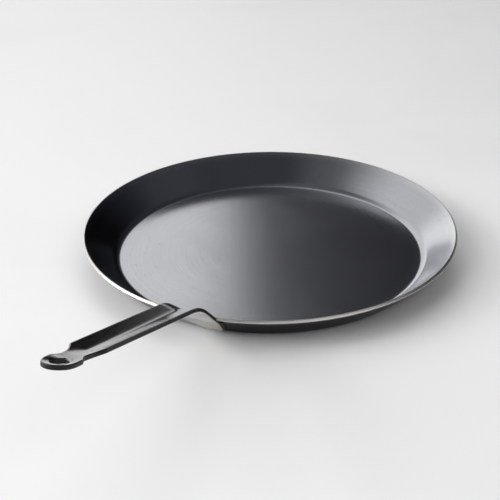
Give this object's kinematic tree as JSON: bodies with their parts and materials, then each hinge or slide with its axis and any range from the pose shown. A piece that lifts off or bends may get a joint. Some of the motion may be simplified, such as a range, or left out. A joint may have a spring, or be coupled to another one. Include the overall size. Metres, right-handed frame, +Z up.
{
  "type": "crepe pan",
  "caption": "Flat bare-steel crepe pan with a short flared wall and a long black steel strip handle, welded on, with a teardrop hanging eye in its tongue",
  "frame": {"origin": "middle of the flat underside of the base, which rests on the table", "axes": "+X along the handle from the pan's centre towards the hanging eye, +Y across the pan, +Z up out of the cooking surface"},
  "size_m": [0.5296, 0.2996, 0.127],
  "materials": {
    "pan_steel": "satin",
    "handle_black": "satin",
    "weld_steel": "matte"
  },
  "bodies": {
    "root": {"pan_body": "pan_steel", "handle": "handle_black", "weld_bead_left": "weld_steel", "weld_bead_right": "weld_steel"}
  },
  "joints": []
}
